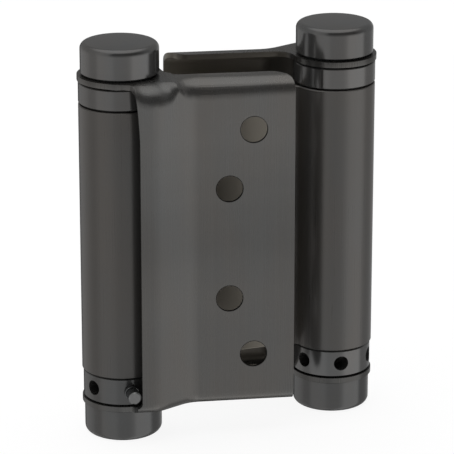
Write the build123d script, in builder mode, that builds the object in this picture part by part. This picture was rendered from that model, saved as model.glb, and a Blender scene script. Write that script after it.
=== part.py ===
from build123d import *
import math
import os

# Double-action spring hinge for a swing door, millimetres, +Z up.
# The leaves lie square to Y, one facing -Y and one facing +Y. The origin is
# midway between the two barrels, on the plane that the bottom caps stand on.
# The front barrel is the one at -X and carries the front (-Y) leaf. Everything
# at the rear is the same piece turned half a turn about Z.

# ---------------------------------------------------------------- dimensions
leaf_height = 76.2          # outside the two ears, a 3 in hinge
sheet = 1.2                 # leaves and centre plate
barrel_spacing = 50.8       # between the barrel axes
row_turn = 12.2             # angle of the barrel line to the leaves, degrees

cap_r = 8.7
cap_height = 7.05
cap_round = 1.4             # rounded rim of a cap
cap_crown = 0.25            # slight dome of its end

barrel_r = 9.2
barrel_bore_r = barrel_r - sheet
collar_r = 9.2              # upper collar
tension_r = 8.9             # tension collar
upper_ear_r = 9.45
lower_ear_r = 9.2
spindle_r = 3.0
spindle_bore_r = 3.05

leaf_z0 = 7.4               # underside of the lower ear
barrel_z0 = 15.3
barrel_z1 = 76.95
upper_collar_z0 = 77.35
bearing_t = 0.4             # thrust washer under the upper ear
cap_washer_t = 0.35
lower_washer_t = 0.25
tension_play = 0.05         # the tension collar runs this far above its washer

leaf_x0 = -21.8             # free vertical edge beside the front barrel
leaf_x1 = 13.0              # free vertical edge beside the rear barrel
leaf_y_barrel = -17.7       # outer face of the strip in front of the barrel
leaf_y_plate = -13.0        # outer face of the screwed plate
flange_y = -7.75            # free edge of the top and bottom flanges
top_bend_r = 4.0            # outer radius of the upper flange's bend
low_bend_r = 3.0            # outer radius of the lower flange's bend
joggle_x = -19.5            # where the joggle starts
joggle_turn = 32.0          # slope of the joggle, degrees
joggle_r_convex = 7.0
joggle_r_concave = 6.0
top_corner_r = 5.3          # free corner of the upper flange, on the flat blank
low_corner_r = 2.0          # free corner of the lower flange
edge_flare = 1.0            # the strip's free edge widens by this at its ends,
edge_flare_run = 12.0       # over this height at the upper one
ear_blend_r = 4.0

screw_hole_r = 3.0
screw_sink_r = 3.6          # countersink at the inner face, 90 degrees
outer_screw_x, outer_screw_dz = 3.84, 26.2
inner_screw_x, inner_screw_dz = -1.57, 12.8

pin_hole_r = 1.55
bar_hole_r = 1.7            # the five holes left for the adjusting bar
pin_r = 1.5
pin_head_r = 1.45
pin_flange_r = 1.6
pin_turn = -84.6            # direction of the front pin, degrees from +X
pin_z = 12.1
pin_tip = 13.2              # reach of the pin from the barrel axis

wire_r = 0.9                # torsion spring
coil_r = 6.2
coil_turns = 14
coil_z0, coil_z1 = 24.5, 67.5

# ------------------------------------------------------------ derived values
leaf_z1 = leaf_z0 + leaf_height
mid_z = (leaf_z0 + leaf_z1) / 2
lower_ear_top = leaf_z0 + sheet
upper_ear_under = leaf_z1 - sheet
upper_collar_z1 = upper_ear_under - bearing_t
tension_z0 = lower_ear_top + lower_washer_t + tension_play
tension_z1 = 15.05
top_cap_z0 = leaf_z1 + cap_washer_t
total_height = top_cap_z0 + cap_height

turn = math.radians(row_turn)
ax = -barrel_spacing / 2 * math.cos(turn)
ay = -barrel_spacing / 2 * math.sin(turn)
barrel_axis = Plane((ax, ay, 0))

phi = math.radians(joggle_turn)
joggle_depth = leaf_y_plate - leaf_y_barrel
joggle_run = (joggle_depth - (joggle_r_convex + joggle_r_concave) * (1 - math.cos(phi))) / math.sin(phi)
j_end_x = joggle_x + (joggle_r_convex + joggle_r_concave) * math.sin(phi) + joggle_run * math.cos(phi)
cv = (joggle_x, leaf_y_barrel + joggle_r_convex)       # centre of the convex bend
cc = (j_end_x, leaf_y_plate - joggle_r_concave)        # centre of the concave bend


def joggle(inset):
    """Points of the front face line, moved into the sheet by inset."""
    r1, r2 = joggle_r_convex - inset, joggle_r_concave + inset
    h = phi / 2
    return [
        (joggle_x, leaf_y_barrel + inset),
        (cv[0] + r1 * math.sin(h), cv[1] - r1 * math.cos(h)),
        (cv[0] + r1 * math.sin(phi), cv[1] - r1 * math.cos(phi)),
        (cc[0] - r2 * math.sin(phi), cc[1] + r2 * math.cos(phi)),
        (cc[0] - r2 * math.sin(h), cc[1] + r2 * math.cos(h)),
        (j_end_x, leaf_y_plate + inset),
    ]


def ring_profile(r0, r1, z0, z1, edge):
    """Half section of a plain ring with its two outer rims eased."""
    return [
        (r0, z0),
        (r1 - edge, z0),
        (r1, z0 + edge),
        (r1, z1 - edge),
        (r1 - edge, z1),
        (r0, z1),
    ]


# ------------------------------------------------------------- centre plate
# One sheet: a web along the barrel line with a barrel rolled at each end. The
# roll's closing edge stops just short of the web, leaving a narrow seam.
web_half = barrel_spacing / 2 - barrel_bore_r - 0.5
line_plane = Plane(origin=(0, 0, barrel_z0), x_dir=(math.cos(turn), math.sin(turn), 0), z_dir=(0, 0, 1))

with BuildPart() as centre_plate:
    with BuildSketch(line_plane):
        with Locations((-barrel_spacing / 2, 0), (barrel_spacing / 2, 0)):
            Circle(barrel_r)
        Rectangle(2 * web_half, sheet)
        with Locations((-barrel_spacing / 2, 0), (barrel_spacing / 2, 0)):
            Circle(barrel_bore_r, mode=Mode.SUBTRACT)
        # seam slots, behind the web at the rear barrel and before it at the front one
        with Locations((barrel_spacing / 2 - barrel_r + 0.4, sheet / 2 + 0.2), (-barrel_spacing / 2 + barrel_r - 0.4, -sheet / 2 - 0.2)):
            Rectangle(2.2, 0.4, mode=Mode.SUBTRACT)
    extrude(amount=barrel_z1 - barrel_z0)
    inner_corners = [
        e
        for e in centre_plate.edges().filter_by(Axis.Z)
        if 15.0 < math.hypot(e.center().X, e.center().Y) < 17.6
        and (
            -math.sin(turn) * e.center().X + math.cos(turn) * e.center().Y
        ) * (math.cos(turn) * e.center().X + math.sin(turn) * e.center().Y) < 0
    ]
    fillet(inner_corners, radius=2.0)
    rims = [
        e
        for e in centre_plate.edges().filter_by(GeomType.CIRCLE)
        if abs(e.radius - barrel_r) < 0.01
    ]
    chamfer(rims, length=0.2)
centre_plate.part.label = "centre_plate"

# -------------------------------------------------------------------- leaves
with BuildPart() as leaf_core:
    with BuildSketch(Plane.XY.offset(leaf_z0 + sheet)):
        with BuildLine():
            p = joggle(sheet)
            Polyline((leaf_x1 + 2, leaf_y_plate + sheet), (leaf_x1 + 2, 8), (-38, 8), (-38, leaf_y_barrel + sheet), p[0])
            ThreePointArc(p[0], p[1], p[2])
            Line(p[2], p[3])
            ThreePointArc(p[3], p[4], p[5])
            Line(p[5], (leaf_x1 + 2, leaf_y_plate + sheet))
        make_face()
    extrude(amount=leaf_height - 2 * sheet)
    for z, r in ((leaf_z1 - sheet, top_bend_r - sheet), (leaf_z0 + sheet, low_bend_r - sheet)):
        bends = [
            e
            for e in leaf_core.edges()
            if e.center().Y < leaf_y_plate + sheet + 0.05
            and abs(e.center().Z - z) < 0.01
            and -37.9 < e.center().X < leaf_x1 + 1.9
        ]
        fillet(bends, radius=r)

left_cut = -23.6            # the bend runs out here, under the ear's front
# Waste outside the blank's corner arc at the upper flange, as sections standing
# radially on the bend.
flat = flange_y - leaf_y_plate - top_bend_r
neutral_r = top_bend_r - sheet / 2


def corner_x(run):
    """The arc's x at a distance from the flange's free edge, along the blank."""
    t = min(max(top_corner_r - run, 0.0), top_corner_r)
    return leaf_x1 - top_corner_r + math.sqrt(top_corner_r**2 - t**2)


by, bz = leaf_y_plate + top_bend_r, leaf_z1 - top_bend_r
with BuildPart() as corner_cutter:
    for i in range(13):
        run = top_corner_r * (1 - math.cos(math.radians(90 * i / 12)))
        x0 = corner_x(run) if i else corner_x(0)
        if run < flat:
            origin, out = (0, by + flat - run, bz), (0, 0, 1)
        elif run < flat + neutral_r * math.pi / 2:
            a = (run - flat) / neutral_r
            origin, out = (0, by, bz), (0, -math.sin(a), math.cos(a))
        else:
            origin, out = (0, by, bz - (run - flat - neutral_r * math.pi / 2)), (0, -1, 0)
        with BuildSketch(Plane(origin=origin, x_dir=(1, 0, 0), z_dir=(0, -out[2], out[1]))):
            with Locations(((x0 + leaf_x1 + 1) / 2, top_bend_r - sheet / 2)):
                Rectangle(leaf_x1 + 1 - x0, sheet + 0.6)
    loft(ruled=True)

with BuildPart() as front_leaf:
    for z, r in ((leaf_z0, lower_ear_r), (mid_z, upper_ear_r)):
        waist_x = ax + math.sqrt(r**2 - (flange_y - ay) ** 2)
        with BuildSketch(Plane.XY.offset(z)) as outline:
            with BuildLine():
                p = joggle(0)
                Polyline(
                    (leaf_x1, leaf_y_plate),
                    (leaf_x1, flange_y),
                    (left_cut, flange_y),
                    (left_cut, leaf_y_barrel),
                    p[0],
                )
                ThreePointArc(p[0], p[1], p[2])
                Line(p[2], p[3])
                ThreePointArc(p[3], p[4], p[5])
                Line(p[5], (leaf_x1, leaf_y_plate))
            make_face()
            with Locations((ax, ay)):
                Circle(r)
            waist = [v for v in outline.vertices() if math.hypot(v.X - waist_x, v.Y - flange_y) < 0.05]
            fillet(waist, radius=ear_blend_r)
        extrude(amount=leaf_height / 2)
    for z, r in ((leaf_z1, top_bend_r), (leaf_z0, low_bend_r)):
        bends = [
            e
            for e in front_leaf.edges()
            if e.center().Y < leaf_y_plate + 0.05
            and abs(e.center().Z - z) < 0.01
            and left_cut + 0.1 < e.center().X < leaf_x1 - 0.1
        ]
        fillet(bends, radius=r)
    add(leaf_core.part, mode=Mode.SUBTRACT)
    # slanted end of the bends, beside the ears' fronts
    end_x = leaf_x0 - edge_flare
    with BuildSketch(Plane.XY):
        with BuildLine():
            Polyline(
                (left_cut - 3, leaf_y_barrel - 1),
                (end_x, leaf_y_barrel - 1),
                (end_x, leaf_y_barrel + sheet + 0.2),
                (left_cut + 0.1, ay - upper_ear_r - 0.02),
                (left_cut - 3, ay - upper_ear_r - 0.02),
                close=True,
            )
        make_face()
    extrude(amount=100, mode=Mode.SUBTRACT)
    # the strip's free edge beside the barrel, widening towards both ends
    with BuildSketch(Plane(origin=(0, ay - upper_ear_r - 0.5, 0), x_dir=(1, 0, 0), z_dir=(0, -1, 0))):
        with BuildLine():
            z_hi, z_lo = leaf_z1 - 2.2, leaf_z0 + 1.6
            m_hi, m_lo = z_hi - edge_flare_run, z_lo + 1.5
            Line((leaf_x0 - 4, z_hi), (end_x, z_hi))
            Spline((end_x, z_hi), (leaf_x0 - 0.38 * edge_flare, z_hi - 0.36 * edge_flare_run), (leaf_x0, m_hi), tangents=((0.3, -1.0), (0, -1.0)))
            Line((leaf_x0, m_hi), (leaf_x0, m_lo))
            Spline((leaf_x0, m_lo), (end_x, z_lo), tangents=((0, -1.0), (-1.0, -0.4)))
            Line((end_x, z_lo), (leaf_x0 - 4, z_lo))
            Line((leaf_x0 - 4, z_lo), (leaf_x0 - 4, z_hi))
        make_face()
    extrude(amount=8, mode=Mode.SUBTRACT)
    # rounded free corner of the lower flange
    with BuildSketch(Plane.XY.offset(leaf_z0 - 1)):
        with Locations((leaf_x1 - low_corner_r, flange_y - low_corner_r)):
            Rectangle(low_corner_r + 1, low_corner_r + 1, align=(Align.MIN, Align.MIN))
            Circle(low_corner_r, mode=Mode.SUBTRACT)
    extrude(amount=leaf_height / 2, mode=Mode.SUBTRACT)
    # rounded free corner of the upper flange: the blank's corner arc, carried
    # round the bend
    add(corner_cutter.part, mode=Mode.SUBTRACT)
    # spindle holes in the two ears
    with Locations((ax, ay, mid_z)):
        Cylinder(spindle_r, 2 * leaf_height, mode=Mode.SUBTRACT)
    # screw holes, countersunk from the inner face
    hole_spots = [
        (outer_screw_x, mid_z + outer_screw_dz),
        (inner_screw_x, mid_z + inner_screw_dz),
        (inner_screw_x, mid_z - inner_screw_dz),
        (outer_screw_x, mid_z - outer_screw_dz),
    ]
    with Locations(*[Plane(origin=(x, leaf_y_plate + sheet, z), x_dir=(1, 0, 0), z_dir=(0, 1, 0)) for x, z in hole_spots]):
        CounterSinkHole(radius=screw_hole_r, counter_sink_radius=screw_sink_r, depth=3, counter_sink_angle=90)
front_leaf.part.label = "front_leaf"

with BuildPart() as rear_leaf:
    add(front_leaf.part, rotation=(0, 0, 180))
rear_leaf.part.label = "rear_leaf"

# ------------------------------------------------------------------- spindle
with BuildPart() as front_spindle:
    with BuildSketch(Plane(origin=(ax, ay, 0), x_dir=(1, 0, 0), z_dir=(0, -1, 0))):
        with BuildLine():
            Polyline(
                (0, 1.6),
                (spindle_r - 0.5, 1.6),
                (spindle_r, 2.1),
                (spindle_r, total_height - 2.1),
                (spindle_r - 0.5, total_height - 1.6),
                (0, total_height - 1.6),
                close=True,
            )
        make_face()
    revolve(axis=Axis((ax, ay, 0), (0, 0, 1)))
front_spindle.part.label = "front_spindle"

with BuildPart() as rear_spindle:
    add(front_spindle.part, rotation=(0, 0, 180))
rear_spindle.part.label = "rear_spindle"


# ---------------------------------------------------------------------- caps
# Turned caps with a rounded rim, a slightly domed end and a blind bore that is
# pressed on the spindle.
def cap_points():
    a = math.radians(45)
    r, h, e = cap_r, cap_height, cap_round
    return [
        (0, h),
        (r - e, h - cap_crown),
        (r - e + e * math.sin(a), h - cap_crown - e + e * math.cos(a)),
        (r, h - cap_crown - e),
    ]


bore_depth = cap_height - 1.6
with BuildPart() as front_top_cap:
    with BuildSketch(Plane(origin=(ax, ay, top_cap_z0), x_dir=(1, 0, 0), z_dir=(0, -1, 0))):
        with BuildLine():
            q = cap_points()
            ThreePointArc(q[0], ((cap_r - cap_round) / 2, cap_height - cap_crown * 0.25), q[1])
            ThreePointArc(q[1], q[2], q[3])
            Polyline(q[3], (cap_r, 0.25), (cap_r - 0.25, 0), (spindle_r, 0), (spindle_r, bore_depth), (0, bore_depth), q[0])
        make_face()
    revolve(axis=Axis((ax, ay, 0), (0, 0, 1)))
front_top_cap.part.label = "front_top_cap"

with BuildPart() as front_bottom_cap:
    with BuildSketch(Plane(origin=(ax, ay, leaf_z0), x_dir=(1, 0, 0), z_dir=(0, -1, 0))):
        with BuildLine():
            # the lower cap stands on its end, so this one is flat
            r, h, e = cap_r, leaf_z0, cap_round
            a = math.radians(45)
            ThreePointArc((r - e, -h), (r - e + e * math.sin(a), -h + e - e * math.cos(a)), (r, -h + e))
            Polyline((r, -h + e), (r, -0.25), (r - 0.25, 0), (spindle_r, 0), (spindle_r, -h + 1.6), (0, -h + 1.6), (0, -h), (r - e, -h))
        make_face()
    revolve(axis=Axis((ax, ay, 0), (0, 0, 1)))
front_bottom_cap.part.label = "front_bottom_cap"

with BuildPart() as rear_top_cap:
    add(front_top_cap.part, rotation=(0, 0, 180))
rear_top_cap.part.label = "rear_top_cap"

with BuildPart() as rear_bottom_cap:
    add(front_bottom_cap.part, rotation=(0, 0, 180))
rear_bottom_cap.part.label = "rear_bottom_cap"

# ------------------------------------------------------------------- washers
with BuildPart() as front_cap_washer:
    with BuildSketch(Plane((ax, ay, leaf_z1))):
        Circle(7.9)
        Circle(spindle_r, mode=Mode.SUBTRACT)
    extrude(amount=cap_washer_t)
front_cap_washer.part.label = "front_cap_washer"

with BuildPart() as front_bearing_washer:
    with BuildSketch(Plane((ax, ay, upper_collar_z1))):
        Circle(8.3)
        Circle(spindle_bore_r, mode=Mode.SUBTRACT)
    extrude(amount=bearing_t)
front_bearing_washer.part.label = "front_bearing_washer"

with BuildPart() as front_lower_washer:
    with BuildSketch(Plane((ax, ay, lower_ear_top))):
        Circle(8.0)
        Circle(spindle_bore_r, mode=Mode.SUBTRACT)
    extrude(amount=lower_washer_t)
front_lower_washer.part.label = "front_lower_washer"

with BuildPart() as rear_cap_washer:
    add(front_cap_washer.part, rotation=(0, 0, 180))
rear_cap_washer.part.label = "rear_cap_washer"

with BuildPart() as rear_bearing_washer:
    add(front_bearing_washer.part, rotation=(0, 0, 180))
rear_bearing_washer.part.label = "rear_bearing_washer"

with BuildPart() as rear_lower_washer:
    add(front_lower_washer.part, rotation=(0, 0, 180))
rear_lower_washer.part.label = "rear_lower_washer"

# -------------------------------------------------------------- upper collar
# A ring on the barrel's top with a spigot pressed in its bore. The spring's
# upper tang goes up into the spigot. A staked groove runs down its face.
seam_turn = 63.0            # direction of the front collar's groove from +X
spigot_z0 = 70.0
tang = (coil_r, 0.0)
with BuildPart() as front_upper_collar:
    with BuildSketch(Plane(origin=(ax, ay, 0), x_dir=(1, 0, 0), z_dir=(0, -1, 0))):
        with BuildLine():
            Polyline(
                (spindle_bore_r, spigot_z0),
                (barrel_bore_r - 0.42, spigot_z0),
                (barrel_bore_r - 0.02, spigot_z0 + 0.4),
                (barrel_bore_r - 0.02, upper_collar_z0),
                (collar_r - 0.2, upper_collar_z0),
                (collar_r, upper_collar_z0 + 0.2),
                (collar_r, upper_collar_z1 - 0.2),
                (collar_r - 0.2, upper_collar_z1),
                (spindle_bore_r, upper_collar_z1),
                close=True,
            )
        make_face()
    revolve(axis=Axis((ax, ay, 0), (0, 0, 1)))
    with Locations((ax + coil_r, ay, spigot_z0)):
        Cylinder(wire_r + 0.05, 2 * 3.2, mode=Mode.SUBTRACT)
    s = math.radians(seam_turn)
    with BuildSketch(Plane(origin=(ax + collar_r * math.cos(s), ay + collar_r * math.sin(s), upper_collar_z0 - 0.1), x_dir=(math.cos(s), math.sin(s), 0), z_dir=(0, 0, 1))):
        Rectangle(0.7, 0.45)
    extrude(amount=upper_collar_z1 - upper_collar_z0 + 0.2, mode=Mode.SUBTRACT)
front_upper_collar.part.label = "front_upper_collar"

with BuildPart() as rear_upper_collar:
    add(front_upper_collar.part, rotation=(0, 0, 180))
rear_upper_collar.part.label = "rear_upper_collar"

# ------------------------------------------------------------ tension collar
# Ring under the barrel with six radial holes for the adjusting bar and the
# pin. Its spigot turns in the barrel's bore and carries the spring's lower
# tang in a ring groove.
tension_spigot_z1 = 22.0
groove_r0, groove_r1, groove_z = coil_r - wire_r - 0.3, coil_r + wire_r + 0.2, 19.4
with BuildPart() as front_tension_collar:
    with BuildSketch(Plane(origin=(ax, ay, 0), x_dir=(1, 0, 0), z_dir=(0, -1, 0))):
        with BuildLine():
            Polyline(
                (spindle_bore_r, tension_z0),
                (tension_r - 0.2, tension_z0),
                (tension_r, tension_z0 + 0.2),
                (tension_r, tension_z1 - 0.2),
                (tension_r - 0.2, tension_z1),
                (barrel_bore_r - 0.05, tension_z1),
                (barrel_bore_r - 0.05, tension_spigot_z1),
                (groove_r1, tension_spigot_z1),
                (groove_r1, groove_z),
                (groove_r0, groove_z),
                (groove_r0, tension_spigot_z1),
                (spindle_bore_r, tension_spigot_z1),
                close=True,
            )
        make_face()
    revolve(axis=Axis((ax, ay, 0), (0, 0, 1)))
    for i in range(6):
        d = math.radians(pin_turn + 60 * i)
        with BuildSketch(Plane(origin=(ax + 4.2 * math.cos(d), ay + 4.2 * math.sin(d), pin_z), x_dir=(0, 0, 1), z_dir=(math.cos(d), math.sin(d), 0))):
            Circle(bar_hole_r if i else pin_hole_r)
        extrude(amount=6, mode=Mode.SUBTRACT)
front_tension_collar.part.label = "front_tension_collar"

with BuildPart() as rear_tension_collar:
    add(front_tension_collar.part, rotation=(0, 0, 180))
rear_tension_collar.part.label = "rear_tension_collar"

# --------------------------------------------------------------- tension pin
# Shank in the collar's hole, a small flange, a neck and a head that bears on
# the leaf's free edge.
d = math.radians(pin_turn)
pin_plane = Plane(origin=(ax, ay, pin_z), x_dir=(math.cos(d), math.sin(d), 0), z_dir=(math.sin(d), -math.cos(d), 0))
with BuildPart() as front_tension_pin:
    with BuildSketch(pin_plane):
        with BuildLine():
            Polyline(
                (4.4, 0),
                (4.4, pin_r - 0.3),
                (4.7, pin_r),
                (9.0, pin_r),
                (9.0, pin_flange_r - 0.05),
                (9.1, pin_flange_r),
                (9.95, pin_flange_r),
                (10.05, pin_flange_r - 0.05),
                (10.05, 1.2),
                (10.45, 1.2),
                (10.45, pin_head_r - 0.1),
                (10.55, pin_head_r),
                (pin_tip - 0.25, pin_head_r),
                (pin_tip, pin_head_r - 0.25),
                (pin_tip, 0),
                close=True,
            )
        make_face()
    revolve(axis=Axis((ax, ay, pin_z), (math.cos(d), math.sin(d), 0)))
front_tension_pin.part.label = "front_tension_pin"

with BuildPart() as rear_tension_pin:
    add(front_tension_pin.part, rotation=(0, 0, 180))
rear_tension_pin.part.label = "rear_tension_pin"

# ------------------------------------------------------------ torsion spring
coil_plane = Plane((ax, ay, coil_z0))
with BuildPart() as front_spring:
    with BuildLine(coil_plane) as coil_line:
        Helix(pitch=(coil_z1 - coil_z0) / coil_turns, height=coil_z1 - coil_z0, radius=coil_r)
    with BuildSketch(Plane(origin=coil_line.line @ 0, z_dir=coil_line.line % 0)):
        Circle(wire_r)
    sweep(path=coil_line.line, is_frenet=True)
    # straight tangs, up into the upper collar and down into the tension collar
    with Locations((ax + coil_r, ay, coil_z1)):
        Sphere(wire_r + 0.06)
        Cylinder(wire_r, 72.8 - coil_z1, align=(Align.CENTER, Align.CENTER, Align.MIN))
    with Locations((ax + coil_r, ay, coil_z0)):
        Sphere(wire_r + 0.06)
        Cylinder(wire_r, coil_z0 - 19.8, align=(Align.CENTER, Align.CENTER, Align.MAX))
front_spring.part.label = "front_spring"

with BuildPart() as rear_spring:
    add(front_spring.part, rotation=(0, 0, 180))
rear_spring.part.label = "rear_spring"

# -------------------------------------------------------------------- output
os.makedirs("parts", exist_ok=True)
export_step(centre_plate.part, "parts/centre_plate.step")
export_step(front_leaf.part, "parts/front_leaf.step")
export_step(rear_leaf.part, "parts/rear_leaf.step")
export_step(front_spindle.part, "parts/front_spindle.step")
export_step(rear_spindle.part, "parts/rear_spindle.step")
export_step(front_top_cap.part, "parts/front_top_cap.step")
export_step(front_bottom_cap.part, "parts/front_bottom_cap.step")
export_step(rear_top_cap.part, "parts/rear_top_cap.step")
export_step(rear_bottom_cap.part, "parts/rear_bottom_cap.step")
export_step(front_cap_washer.part, "parts/front_cap_washer.step")
export_step(rear_cap_washer.part, "parts/rear_cap_washer.step")
export_step(front_bearing_washer.part, "parts/front_bearing_washer.step")
export_step(rear_bearing_washer.part, "parts/rear_bearing_washer.step")
export_step(front_lower_washer.part, "parts/front_lower_washer.step")
export_step(rear_lower_washer.part, "parts/rear_lower_washer.step")
export_step(front_upper_collar.part, "parts/front_upper_collar.step")
export_step(rear_upper_collar.part, "parts/rear_upper_collar.step")
export_step(front_tension_collar.part, "parts/front_tension_collar.step")
export_step(rear_tension_collar.part, "parts/rear_tension_collar.step")
export_step(front_tension_pin.part, "parts/front_tension_pin.step")
export_step(rear_tension_pin.part, "parts/rear_tension_pin.step")
export_step(front_spring.part, "parts/front_spring.step")
export_step(rear_spring.part, "parts/rear_spring.step")
print("barrel axes at", round(ax, 3), round(ay, 3), "joggle ends at", round(j_end_x, 3), "height", total_height)
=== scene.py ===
import math

import bmesh
import bpy
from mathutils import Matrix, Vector


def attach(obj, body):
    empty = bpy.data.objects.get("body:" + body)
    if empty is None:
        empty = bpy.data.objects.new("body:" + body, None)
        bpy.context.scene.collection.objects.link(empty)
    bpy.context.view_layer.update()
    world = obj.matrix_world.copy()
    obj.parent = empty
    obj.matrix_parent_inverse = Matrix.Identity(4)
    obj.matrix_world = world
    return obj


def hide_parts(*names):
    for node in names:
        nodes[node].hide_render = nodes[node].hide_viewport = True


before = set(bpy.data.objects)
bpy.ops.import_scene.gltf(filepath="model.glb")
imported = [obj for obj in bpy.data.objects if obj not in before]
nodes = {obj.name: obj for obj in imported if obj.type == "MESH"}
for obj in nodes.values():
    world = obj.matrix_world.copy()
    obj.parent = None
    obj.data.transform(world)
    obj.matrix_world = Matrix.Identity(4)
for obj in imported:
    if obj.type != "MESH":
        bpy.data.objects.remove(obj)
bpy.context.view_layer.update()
scene = bpy.context.scene
scene.view_settings.view_transform = "Standard"
scene.view_settings.look = "None"

# ------------------------------------------------------------------- camera
# The photograph's viewpoint: 8.2 degrees to the left of the front leaf's
# normal, 18 degrees above level, with a long lens.
AZ, EL = math.radians(-8.23), math.radians(17.98)
FOCAL = 2957.7  # in pixels of the 454 pixel frame
back = Vector((math.sin(AZ) * math.cos(EL), -math.cos(AZ) * math.cos(EL), math.sin(EL)))
cam_data = bpy.data.cameras.new("camera")
cam_data.sensor_width = 36.0
cam_data.lens = FOCAL * 36.0 / 454.0
cam_data.clip_start = 0.01
cam_data.clip_end = 50.0
cam = bpy.data.objects.new("camera", cam_data)
scene.collection.objects.link(cam)
cam.location = Vector((0, 0, 0.05)) + back * 0.6661
fwd = -back
right = fwd.cross(Vector((0, 0, 1))).normalized()
up = right.cross(fwd)
aim = (fwd - right * (1.336 / FOCAL) - up * (20.484 / FOCAL)).normalized()
cam.rotation_euler = aim.to_track_quat("-Z", "Y").to_euler()
scene.camera = cam


# ------------------------------------------------------------ material tools
class Nodes:
    """Short names for building a material's node tree."""

    def __init__(self, tree):
        self.tree = tree
        self.tree.nodes.clear()

    def add(self, kind, **values):
        n = self.tree.nodes.new(kind)
        for k, v in values.items():
            if k.startswith("i_"):
                n.inputs[k[2:].replace("_", " ")].default_value = v
            else:
                setattr(n, k, v)
        return n

    def link(self, a, b):
        self.tree.links.new(a, b)

    def math(self, op, a, b=None, c=None, clamp=False):
        n = self.add("ShaderNodeMath", operation=op, use_clamp=clamp)
        for i, v in enumerate((a, b, c)):
            if v is None:
                continue
            if isinstance(v, (int, float)):
                n.inputs[i].default_value = v
            else:
                self.link(v, n.inputs[i])
        return n.outputs[0]

    def ramp(self, fac, stops, interpolation="LINEAR"):
        n = self.add("ShaderNodeValToRGB")
        n.color_ramp.interpolation = interpolation
        e = n.color_ramp.elements
        while len(e) < len(stops):
            e.new(0.5)
        for k, (p, v) in zip(e, stops):
            k.position = p
            k.color = (v, v, v, 1) if isinstance(v, (int, float)) else (*v, 1)
        self.link(fac, n.inputs[0])
        return n.outputs[0]

    def noise(self, vector, scale, detail=3.0, rough=0.55, distortion=0.0):
        n = self.add("ShaderNodeTexNoise")
        n.inputs["Scale"].default_value = scale
        n.inputs["Detail"].default_value = detail
        n.inputs["Roughness"].default_value = rough
        n.inputs["Distortion"].default_value = distortion
        self.link(vector, n.inputs["Vector"])
        return n.outputs[0]

    def mapped(self, vector, scale, location=(0, 0, 0)):
        n = self.add("ShaderNodeMapping")
        n.inputs["Scale"].default_value = scale
        n.inputs["Location"].default_value = location
        self.link(vector, n.inputs["Vector"])
        return n.outputs[0]


def around(k, vector, centre):
    """Coordinates round a vertical axis: (angle in turns, radius, height)."""
    sep = k.add("ShaderNodeSeparateXYZ")
    k.link(vector, sep.inputs[0])
    dx = k.math("SUBTRACT", sep.outputs[0], centre[0])
    dy = k.math("SUBTRACT", sep.outputs[1], centre[1])
    ang = k.math("ARCTAN2", dy, dx)
    r = k.math("SQRT", k.math("ADD", k.math("MULTIPLY", dx, dx), k.math("MULTIPLY", dy, dy)))
    return ang, r, sep.outputs[2]


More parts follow.
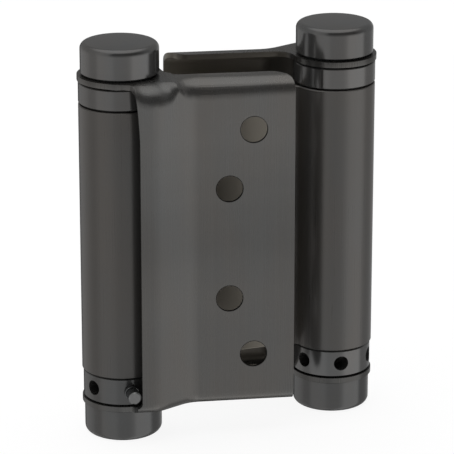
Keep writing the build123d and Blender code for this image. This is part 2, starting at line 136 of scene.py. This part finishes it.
def metal(
    name,
    base,
    rough,
    grain="vertical",
    centre=(0, 0),
    tint=0.55,
    metallic=0.7,
    grain_colour=0.05,
    grain_rough=0.05,
    grain_bump=0.04,
    blotch=0.035,
    anisotropy=0.0,
    inner=None,
    inner_base=(0.17, 0.155, 0.13),
    holes=None,
    slope_shade=None,
    along=None,
    across=None,
    flip=1.0,
):
    """Plated dark steel with a fine brushed or turned grain.

    inner picks the faces with the dull, unpolished inside finish: "+Y" or "-Y"
    for the ones that face that way, "web" for what is away from both barrels.
    The slope factor is painted shade on faces that are turned away from Y; along and across scale the base colour by
    height and by x, as (mm, factor) points.
    """
    m = bpy.data.materials.new(name)
    m.use_nodes = True
    k = Nodes(m.node_tree)
    out = k.add("ShaderNodeOutputMaterial")
    bsdf = k.add("ShaderNodeBsdfPrincipled")
    bsdf.inputs["Metallic"].default_value = metallic
    bsdf.inputs["Specular Tint"].default_value = (tint, tint, tint, 1)
    bsdf.inputs["Anisotropic"].default_value = anisotropy
    k.link(bsdf.outputs[0], out.inputs[0])
    tc = k.add("ShaderNodeTexCoord")
    obj = tc.outputs["Object"]
    if grain == "vertical":
        v1 = k.mapped(obj, (5200, 5200, 45))
        v2 = k.mapped(obj, (1500, 1500, 14))
        v3 = k.mapped(obj, (420, 420, 9))
    elif grain == "turned":
        # fine rings round the piece's own axis
        ang, r, z = around(k, obj, centre)
        c = k.add("ShaderNodeCombineXYZ")
        k.link(k.math("MULTIPLY", ang, 0.02), c.inputs[0])
        k.link(r, c.inputs[1])
        k.link(z, c.inputs[2])
        v1 = k.mapped(c.outputs[0], (60, 6200, 6200))
        v2 = k.mapped(c.outputs[0], (30, 1900, 1900))
        v3 = k.mapped(c.outputs[0], (20, 500, 500))
    else:
        v1 = k.mapped(obj, (2600, 2600, 2600))
        v2 = k.mapped(obj, (900, 900, 900))
        v3 = k.mapped(obj, (300, 300, 300))
    fine = k.noise(v1, 1.0, 4.0, 0.6)
    mid = k.noise(v2, 1.0, 3.0, 0.55)
    wide = k.noise(v3, 1.0, 2.0, 0.5)
    patch = k.noise(k.mapped(obj, (55, 55, 55), (3.1, 1.7, 0.4)), 1.0, 4.0, 0.6)
    grain_mix = k.math(
        "ADD",
        k.math("MULTIPLY", fine, 0.5),
        k.math("ADD", k.math("MULTIPLY", mid, 0.3), k.math("MULTIPLY", wide, 0.2)),
    )
    # -0.5 .. 0.5 around the mean
    g = k.math("SUBTRACT", grain_mix, 0.5)
    p = k.math("SUBTRACT", patch, 0.5)
    factor = k.math(
        "ADD",
        1.0,
        k.math("ADD", k.math("MULTIPLY", g, grain_colour * 4), k.math("MULTIPLY", p, blotch * 4)),
    )
    if holes:
        # painted shade: the walls of the screw holes are darkened almost to black, standing in for the shade inside the
        # holes
        sep_h = k.add("ShaderNodeSeparateXYZ")
        k.link(obj, sep_h.inputs[0])
        near = None
        for hx, hz in holes:
            du = k.math("SUBTRACT", sep_h.outputs[0], hx * flip / 1000)
            dv = k.math("SUBTRACT", sep_h.outputs[2], hz / 1000)
            far = k.math("SQRT", k.math("ADD", k.math("MULTIPLY", du, du), k.math("MULTIPLY", dv, dv)))
            near = far if near is None else k.math("MINIMUM", near, far)
        open_face = k.math("MULTIPLY", k.math("SUBTRACT", near, 0.00308), 20000.0, clamp=True)
        factor = k.math("MULTIPLY", factor, k.math("ADD", k.math("MULTIPLY", open_face, 0.92), 0.08))
    if slope_shade:
        # painted shade: faces turned sideways from Y, as on the joggle, are darkened, standing in for the dimmer light
        # they reflect; faces tilted upward are spared
        tcn = k.add("ShaderNodeTexCoord")
        sep_n = k.add("ShaderNodeSeparateXYZ")
        k.link(tcn.outputs["Normal"], sep_n.inputs[0])
        turned = k.math("SUBTRACT", k.math("ABSOLUTE", sep_n.outputs[0]), k.math("MULTIPLY", k.math("MAXIMUM", sep_n.outputs[2], 0.0), 0.45))
        factor = k.math("MULTIPLY", factor, k.ramp(turned, [(0.08, 1.0), (0.26, slope_shade)], "EASE"))
    for points, axis in ((along, 2), (across, 0)):
        if points:
            sep_t = k.add("ShaderNodeSeparateXYZ")
            k.link(obj, sep_t.inputs[0])
            lo, hi = points[0][0], points[-1][0]
            c = sep_t.outputs[axis]
            if axis == 0:
                c = k.math("MULTIPLY", c, flip)
            c = k.math("DIVIDE", k.math("SUBTRACT", c, lo / 1000), (hi - lo) / 1000)
            stops = [((mm - lo) / (hi - lo), f / 2) for mm, f in points]
            factor = k.math("MULTIPLY", factor, k.math("MULTIPLY", k.ramp(c, stops, "EASE"), 2.0))
    # the plating is a little warmer where it is thin
    hue = k.add("ShaderNodeMix", data_type="RGBA")
    cool = tuple(c * f for c, f in zip(base, (0.985, 1.0, 1.01)))
    warm = tuple(c * f for c, f in zip(base, (1.03, 0.995, 0.965)))
    hue.inputs["A"].default_value = (*cool, 1)
    hue.inputs["B"].default_value = (*warm, 1)
    tone = k.noise(k.mapped(obj, (90, 90, 30), (0.3, 7.2, 2.2)), 1.0, 2.0, 0.5)
    k.link(k.ramp(tone, [(0.35, 0.0), (0.65, 1.0)]), hue.inputs["Factor"])
    colour = hue.outputs["Result"]
    rv = k.math(
        "ADD",
        rough,
        k.math("ADD", k.math("MULTIPLY", g, grain_rough * 4), k.math("MULTIPLY", p, 0.08)),
        clamp=True,
    )
    if inner:
        if inner == "web":
            masks = []
            for c in (A, B):
                _, r, _ = around(k, obj, c)
                masks.append(k.math("MULTIPLY", k.math("SUBTRACT", r, 0.0096), 1500.0, clamp=True))
            mask = k.math("MULTIPLY", masks[0], masks[1], clamp=True)
        else:
            geo = k.add("ShaderNodeNewGeometry")
            sep = k.add("ShaderNodeSeparateXYZ")
            to_obj = k.add("ShaderNodeVectorTransform", vector_type="NORMAL", convert_from="WORLD", convert_to="OBJECT")
            k.link(geo.outputs["True Normal"], to_obj.inputs[0])
            k.link(to_obj.outputs[0], sep.inputs[0])
            sign = 1.0 if inner == "+Y" else -1.0
            mask = k.math("MULTIPLY", k.math("SUBTRACT", k.math("MULTIPLY", sep.outputs[1], sign), 0.15), 4.0, clamp=True)
            # not the ears' rims
            _, r, _ = around(k, obj, A if inner == "+Y" else B)
            off_rim = k.math("MULTIPLY", k.math("SUBTRACT", r, 0.0098), 800.0, clamp=True)
            mask = k.math("MULTIPLY", mask, off_rim)
            grain_mix = k.math("MULTIPLY", grain_mix, off_rim)
        swap = k.add("ShaderNodeMix", data_type="RGBA")
        k.link(mask, swap.inputs["Factor"])
        k.link(colour, swap.inputs["A"])
        swap.inputs["B"].default_value = (*inner_base, 1)
        colour = swap.outputs["Result"]
        k.link(k.math("SUBTRACT", metallic, k.math("MULTIPLY", mask, metallic - 0.3)), bsdf.inputs["Metallic"])
        rv = k.math("ADD", rv, k.math("MULTIPLY", mask, 0.15))
    scaled = k.add("ShaderNodeVectorMath", operation="SCALE")
    k.link(colour, scaled.inputs[0])
    k.link(factor, scaled.inputs["Scale"])
    k.link(scaled.outputs[0], bsdf.inputs["Base Color"])
    k.link(rv, bsdf.inputs["Roughness"])
    bump = k.add("ShaderNodeBump")
    bump.inputs["Strength"].default_value = grain_bump * 4
    bump.inputs["Distance"].default_value = 0.00002
    k.link(grain_mix, bump.inputs["Height"])
    k.link(bump.outputs[0], bsdf.inputs["Normal"])
    return m


A = (-0.024826, -0.005368)
B = (0.024826, 0.005368)
LEAF = (0.100, 0.0985, 0.0955)
TUBE = (0.0735, 0.0710, 0.0680)
CAP = (0.094, 0.094, 0.0935)
LOW = (0.078, 0.078, 0.0775)

# Factors on the leaves' base colour by height and by x. Above 82 mm ALONG falls to 0.90: painted shade that dims the
# highlight on the upper bend and the flange. Its lower points, ACROSS and REAR_ACROSS only make the leaves lighter and
# darker by height and by x.
ALONG = [(7, 1.02), (14, 1.02), (33, 1.05), (39, 1.02), (46, 0.95), (52, 0.98), (58, 1.05), (65, 1.12), (71, 1.19), (78, 1.19), (82.1, 1.17), (82.7, 1.06), (83.3, 0.90), (84, 0.90)]
ACROSS = [(-24, 0.95), (-19, 0.95), (-8, 1.0), (13, 1.0)]
REAR_ACROSS = [(-24, 0.85), (-10, 0.85), (0, 1.05), (13, 1.6)]
HOLES = [(3.84, 71.7), (-1.57, 58.3), (-1.57, 32.7), (3.84, 19.3)]
INSIDE = (0.125, 0.113, 0.095)
leaf_mats = {
    "front": metal("front_leaf_brushed", LEAF, 0.27, grain_rough=0.035, grain_bump=0.028, inner="+Y", inner_base=INSIDE, holes=HOLES, slope_shade=0.78, along=ALONG, across=ACROSS),
    "rear": metal("rear_leaf_brushed", LEAF, 0.27, grain_rough=0.035, grain_bump=0.028, inner="-Y", inner_base=INSIDE, holes=HOLES, slope_shade=0.78, along=ALONG, across=REAR_ACROSS, flip=-1.0),
}
# painted light: the across table makes barrel B about a fifth lighter than barrel A, standing in for the brighter light
# on its side
tube_mat = metal("barrel_brushed", TUBE, 0.3, metallic=0.55, inner="web", across=[(-40, 0.98), (-5, 0.98), (5, 1.18), (40, 1.18)])
spindle_mat = metal("spindle_ground", (0.42, 0.42, 0.41), 0.3, metallic=1.0)
spring_mat = metal("spring_wire", (0.2, 0.19, 0.18), 0.42, grain="plain", metallic=1.0)
cap_mats, low_mats, collar_mats, washer_mats, pin_mats = {}, {}, {}, {}, {}
for side, c in (("front", A), ("rear", B)):
    cap_mats[side] = metal(side + "_cap_turned", CAP, 0.17, "turned", c, metallic=0.62, grain_rough=0.03, grain_bump=0.025)
    low_mats[side] = metal(side + "_low_turned", LOW, 0.2, "turned", c, grain_rough=0.03, grain_bump=0.025)
    # painted shade and light: the front collar is darkened (0.95) and the rear one lightened (1.14), shaded and lit
    # copies of one finish
    painted_light_factor = 0.95 if side == "front" else 1.14
    collar_mats[side] = metal(side + "_collar_turned", tuple(v * painted_light_factor for v in CAP), 0.2, "turned", c, grain_rough=0.03, grain_bump=0.025)
    # painted shade: the washers are near-black, standing in for the shade in the gaps between the caps, ears and
    # collars
    washer_mats[side] = metal(side + "_washer_painted_shade", (0.008, 0.008, 0.008), 0.7, "turned", c, metallic=0.0)
    pin_mats[side] = metal(side + "_pin_steel", (0.15, 0.15, 0.15), 0.16, "plain", c, metallic=0.85)


def give(node, mat):
    o = nodes[node]
    o.data.materials.clear()
    o.data.materials.append(mat)


give("centre_plate", tube_mat)
for side in ("front", "rear"):
    give(side + "_spindle", spindle_mat)
    give(side + "_spring", spring_mat)
    give(side + "_top_cap", cap_mats[side])
    give(side + "_bottom_cap", low_mats[side])
    give(side + "_upper_collar", collar_mats[side])
    # painted shade and light: the front tension collar takes the darker low material, the rear one the lightened collar
    # material
    give(side + "_tension_collar", low_mats[side] if side == "front" else collar_mats[side])
    give(side + "_tension_pin", pin_mats[side])
    for w in ("_cap_washer", "_bearing_washer", "_lower_washer"):
        give(side + w, washer_mats[side])

# ------------------------------------------------------------- pressed leaves
# The leaves with the marks of the press: the upper bend is slack over the two
# flats and tight where the joggle crosses it, which leaves a small crease, and
# every edge of the sheet is slightly rounded.
BEND_R = 4.0  # the plain upper bend of the CAD leaf, mm
TOP = 83.6
SHEET = 1.2
TURN = math.radians(32.0)
X0, Y0, Y1, RV, RC = -19.5, -17.7, -13.0, 7.0, 6.0
RUN = ((Y1 - Y0) - (RV + RC) * (1 - math.cos(TURN))) / math.sin(TURN)
X1 = X0 + (RV + RC) * math.sin(TURN) + RUN * math.cos(TURN)
# height of the bend by x, mm, and how far it eases out at the plate: below 0
# it is tight there and slack at the flange; last, how far the flange hangs
BENDS = [
    (-23.7, 2.9, 0.0, 0.0), (-23.0, 3.3, 0.0, 0.05), (-22.2, 4.1, 0.0, 0.1), (-21.3, 4.7, -0.1, 0.15),
    (-20.0, 4.9, -0.2, 0.2), (-18.7, 5.0, -0.2, 0.25), (-17.3, 5.0, -0.3, 0.3), (-16.0, 4.9, -0.4, 0.35),
    (-15.1, 4.7, -0.5, 0.4), (-14.2, 4.2, -0.5, 0.4), (-13.55, 3.1, -0.3, 0.4), (-12.9, 2.2, 0.0, 0.35),
    (-12.2, 3.0, 0.0, 0.35), (-11.5, 3.8, 0.0, 0.35), (-10.6, 4.2, 0.0, 0.35), (-9.2, 4.4, 0.0, 0.35),
    (-7.3, 4.45, 0.0, 0.35), (-5.0, 4.5, 0.0, 0.4), (-2.4, 4.35, 0.0, 0.4), (0.7, 4.3, 0.0, 0.45),
    (4.2, 4.15, 0.0, 0.45), (7.3, 4.05, 0.0, 0.4), (13.1, 4.0, 0.0, 0.4),
]
REAR_BENDS = [(-23.7, 2.9, 0.0, 0.0), (-22.0, 3.1, 0.0, 0.0), (13.1, 3.2, 0.0, 0.0)]


def bend_at(x, bends):
    for p, q in zip(bends, bends[1:]):
        if x <= q[0]:
            t = max((x - p[0]) / (q[0] - p[0]), 0.0)
            return [a + (b - a) * t for a, b in zip(p[1:], q[1:])]
    return bends[-1][1:]


def foot(x, y):
    """Nearest point of the front face's plan line: (point, inward normal, depth)."""
    best = None
    cand = []
    if x <= X0:
        cand.append(((x, Y0), (0.0, 1.0), y - Y0))
    if x >= X1:
        cand.append(((x, Y1), (0.0, 1.0), y - Y1))
    # convex arc, centre behind the face
    cx, cy = X0, Y0 + RV
    a = math.atan2(x - cx, cy - y)
    if 0.0 <= a <= TURN:
        n = (-math.sin(a), math.cos(a))
        r = math.hypot(x - cx, y - cy)
        if cy - y > 0:
            cand.append(((cx + RV * math.sin(a), cy - RV * math.cos(a)), n, RV - r))
    # slope
    n = (-math.sin(TURN), math.cos(TURN))
    t = (math.cos(TURN), math.sin(TURN))
    px, py = X0 + RV * math.sin(TURN), Y0 + RV - RV * math.cos(TURN)
    u = (x - px) * t[0] + (y - py) * t[1]
    if 0.0 <= u <= RUN:
        q = (x - px) * n[0] + (y - py) * n[1]
        cand.append(((px + u * t[0], py + u * t[1]), n, q))
    # concave arc, centre in front of the face
    cx, cy = X1, Y1 - RC
    a = math.atan2(cx - x, y - cy)
    if 0.0 <= a <= TURN and y > cy:
        r = math.hypot(x - cx, y - cy)
        n = (-math.sin(a), math.cos(a))
        cand.append(((cx - RC * math.sin(a), cy + RC * math.cos(a)), n, r - RC))
    for c in cand:
        if best is None or abs(c[2]) < abs(best[2]):
            best = c
    return best


def reshape(x, y, z, bends):
    """Carries a point of the CAD leaf's upper bend to the pressed shape, mm."""
    reach = 7.0
    if z < TOP - BEND_R - reach or x < -26.0:
        return x, y, z
    f = foot(x, y)
    if f is None or f[2] < -0.2 or f[2] > BEND_R + 3.0:
        return x, y, z
    (fx, fy), n, q = f
    r, easy, hang = bend_at(fx, bends)
    away = math.hypot(fx + n[0] * q + 24.826, fy + n[1] * q + 5.368)
    t = min(max((away - 9.0) / 2.2, 0.0), 1.0)
    hang *= t * t * (3 - 2 * t)
    d = r - BEND_R
    if x < -23.6:
        # fades out into the ear
        d *= max(0.0, 1.0 - (-23.6 - x) / 1.5)
        r = BEND_R + d
    fade = 1.25 if fx > -11.0 else 1.25 + min(1.0, (-11.0 - fx) / 3.0) * 1.5
    tight = 1.0 - easy * 2 / 3
    depth = r * (tight + easy / 3)
    dq, dz = q - BEND_R, z - (TOP - BEND_R)
    if dq >= 0.0:
        # flange
        w = max(0.0, 1.0 - dq / fade)
        q2, z2 = q + (depth - BEND_R) * w, z - hang * max(0.5, 1.0 - dq / 2.5)
    elif dz <= 0.0:
        # plate
        w = max(0.0, 1.0 + dz / reach)
        q2, z2 = q, z - (d + hang) * w * w
    else:
        rho, al = math.hypot(dq, dz), math.atan2(dz, -dq)
        c, s = math.cos(al), math.sin(al)
        outer = (r * (tight * (1 - c) + easy * (1 - c**3) / 3), r * (tight * (1 - s) + easy * (2 / 3 - s + s**3 / 3)))
        inner = (SHEET + max(depth - SHEET, 0.3) * (1 - c), SHEET + max(r - SHEET, 0.3) * (1 - s))
        t = min(max((BEND_R - rho) / SHEET, 0.0), 1.0)
        q2 = outer[0] + (inner[0] - outer[0]) * t
        z2 = TOP - hang - (outer[1] + (inner[1] - outer[1]) * t)
    return fx + n[0] * q2, fy + n[1] * q2, z2


def pressed_leaf(side):
    src = nodes[side + "_leaf"]
    sign = 1.0 if side == "front" else -1.0
    bm = bmesh.new()
    bm.from_mesh(src.data)
    bm.transform(src.matrix_world)
    bmesh.ops.remove_doubles(bm, verts=bm.verts[:], dist=2e-6)
    # join the triangles of the flat faces again
    bmesh.ops.dissolve_limit(bm, angle_limit=math.radians(0.4), verts=bm.verts[:], edges=bm.edges[:])
    # cuts across the upper bend, close together at the crease
    cuts = [-23.6, -23.2, -22.8, -22.4, -22.0, -21.5]
    x = -21.0
    while x < 12.9:
        cuts.append(x)
        x += 0.22 if -15.2 < x < -10.6 else 0.5 if x < -8 else 1.2
    cuts.append(-12.9)
    near = TOP - BEND_R - 8.0
    for c in sorted(cuts):
        geom = [e for e in bm.verts[:] + bm.edges[:] + bm.faces[:] if (max(v.co.z for v in e.verts) if hasattr(e, "verts") else e.co.z) * 1000 > near]
        bmesh.ops.bisect_plane(bm, geom=geom, plane_co=(sign * c / 1000, 0, 0), plane_no=(1, 0, 0), dist=1e-7)
    for z in (TOP - BEND_R - 6.0, TOP - BEND_R - 4.5, TOP - BEND_R - 3.2, TOP - BEND_R - 2.0, TOP - BEND_R - 1.0, TOP - BEND_R - 0.4):
        bmesh.ops.bisect_plane(bm, geom=bm.verts[:] + bm.edges[:] + bm.faces[:], plane_co=(0, 0, z / 1000), plane_no=(0, 0, 1), dist=1e-7)
    for v in bm.verts:
        p = reshape(sign * v.co.x * 1000, sign * v.co.y * 1000, v.co.z * 1000, BENDS if side == "front" else REAR_BENDS)
        v.co = (sign * p[0] / 1000, sign * p[1] / 1000, p[2] / 1000)
    bmesh.ops.triangulate(bm, faces=[f for f in bm.faces if len(f.verts) > 4])
    mesh = bpy.data.meshes.new(side + "_leaf_pressed")
    bm.to_mesh(mesh)
    bm.free()
    o = bpy.data.objects.new(side + "_leaf_pressed", mesh)
    scene.collection.objects.link(o)
    mesh.materials.append(leaf_mats[side])
    for f in mesh.polygons:
        f.use_smooth = True
    bev = o.modifiers.new("edges", "BEVEL")
    bev.width = 0.00018
    bev.segments = 2
    bev.limit_method = "ANGLE"
    bev.angle_limit = math.radians(40)
    bev.use_clamp_overlap = True
    bev.harden_normals = False
    wn = o.modifiers.new("normals", "WEIGHTED_NORMAL")
    wn.mode = "FACE_AREA_WITH_ANGLE"
    wn.weight = 60
    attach(o, side + "_leaf")
    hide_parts(side + "_leaf")
    return o


front_pressed = pressed_leaf("front")
rear_pressed = pressed_leaf("rear")

# -------------------------------------------------------------------- world
# A soft studio: pale sweep for the eye, and for reflections two soft boxes
# beside the object, a darker wall in front and a dark one low behind.
world = bpy.data.worlds.new("studio")
scene.world = world
world.use_nodes = True
k = Nodes(world.node_tree)
out = k.add("ShaderNodeOutputWorld")
tc = k.add("ShaderNodeTexCoord")
sep = k.add("ShaderNodeSeparateXYZ")
k.link(tc.outputs["Generated"], sep.inputs[0])
# azimuth from -Y towards +X in turns, 0.5 in front
turns = k.math("ADD", k.math("DIVIDE", k.math("ARCTAN2", sep.outputs[0], k.math("MULTIPLY", sep.outputs[1], -1.0)), 2 * math.pi), 0.5)
height = sep.outputs[2]  # sine of the elevation
front_back = sep.outputs[1]


def at(deg):
    return deg / 360.0 + 0.5


low = k.ramp(
    turns,
    [
        (0.0, 0.05),
        (at(-166), 0.05),
        (at(-150), 0.80),
        (at(-128), 0.98),
        (at(-110), 0.90),
        (at(-100), 0.68),
        (at(-80), 0.68),
        (at(-70), 1.06),
        (at(-30), 1.06),
        (at(-18), 0.82),
        (at(14), 0.82),
        (at(24), 0.98),
        (at(34), 1.5),
        (at(80), 1.5),
        (at(92), 0.55),
        (at(118), 0.55),
        (at(150), 0.75),
        (at(164), 0.05),
        (1.0, 0.05),
    ],
    "EASE",
)
middle = k.ramp(
    turns,
    [
        (0.0, 0.45),
        (at(-120), 0.60),
        (at(-84), 0.70),
        (at(-72), 0.90),
        (at(-44), 0.75),
        (at(-24), 0.04),
        (at(48), 0.03),
        (at(86), 0.35),
        (at(104), 0.55),
        (at(150), 0.50),
        (1.0, 0.45),
    ],
    "EASE",
)
mix1 = k.add("ShaderNodeMix", data_type="RGBA")
half_height = k.math("ADD", k.math("MULTIPLY", height, 0.5), 0.5)
k.link(k.ramp(half_height, [(0.40, 0.0), (0.55, 0.6), (0.66, 1.0)], "LINEAR"), mix1.inputs["Factor"])
k.link(low, mix1.inputs["A"])
k.link(middle, mix1.inputs["B"])
mix2 = k.add("ShaderNodeMix", data_type="RGBA")
# the overhead light hangs a little behind the hinge
leaning = k.math("ADD", half_height, k.math("MULTIPLY", front_back, 0.06))
k.link(k.ramp(leaning, [(0.85, 0.0), (0.96, 1.0)], "EASE"), mix2.inputs["Factor"])
k.link(mix1.outputs["Result"], mix2.inputs["A"])
mix2.inputs["B"].default_value = (1.5, 1.5, 1.5, 1)
bg = k.add("ShaderNodeBackground")
k.link(mix2.outputs["Result"], bg.inputs["Color"])
bg.inputs["Strength"].default_value = 1.0
pale = k.add("ShaderNodeBackground")
pale.inputs["Color"].default_value = (1, 1, 1, 1)
pale.inputs["Strength"].default_value = 1.0
path = k.add("ShaderNodeLightPath")
pick = k.add("ShaderNodeMixShader")
k.link(path.outputs["Is Camera Ray"], pick.inputs[0])
k.link(bg.outputs[0], pick.inputs[1])
k.link(pale.outputs[0], pick.inputs[2])
k.link(pick.outputs[0], out.inputs[0])

# -------------------------------------------------------------------- floor
floor_mesh = bpy.data.meshes.new("floor")
floor_mesh.from_pydata([(-6, -6, 0), (6, -6, 0), (6, 6, 0), (-6, 6, 0)], [], [(0, 1, 2, 3)])
floor = bpy.data.objects.new("floor", floor_mesh)
scene.collection.objects.link(floor)
floor_mat = bpy.data.materials.new("floor_pale")
floor_mat.use_nodes = True
k = Nodes(floor_mat.node_tree)
out = k.add("ShaderNodeOutputMaterial")
bsdf = k.add("ShaderNodeBsdfPrincipled")
bsdf.inputs["Base Color"].default_value = (0.14, 0.14, 0.14, 1)
bsdf.inputs["Roughness"].default_value = 0.9
bsdf.inputs["Specular IOR Level"].default_value = 0.0
bsdf.inputs["Emission Color"].default_value = (1, 1, 1, 1)
bsdf.inputs["Emission Strength"].default_value = 0.9
k.link(bsdf.outputs[0], out.inputs[0])
floor_mesh.materials.append(floor_mat)
floor.visible_glossy = False
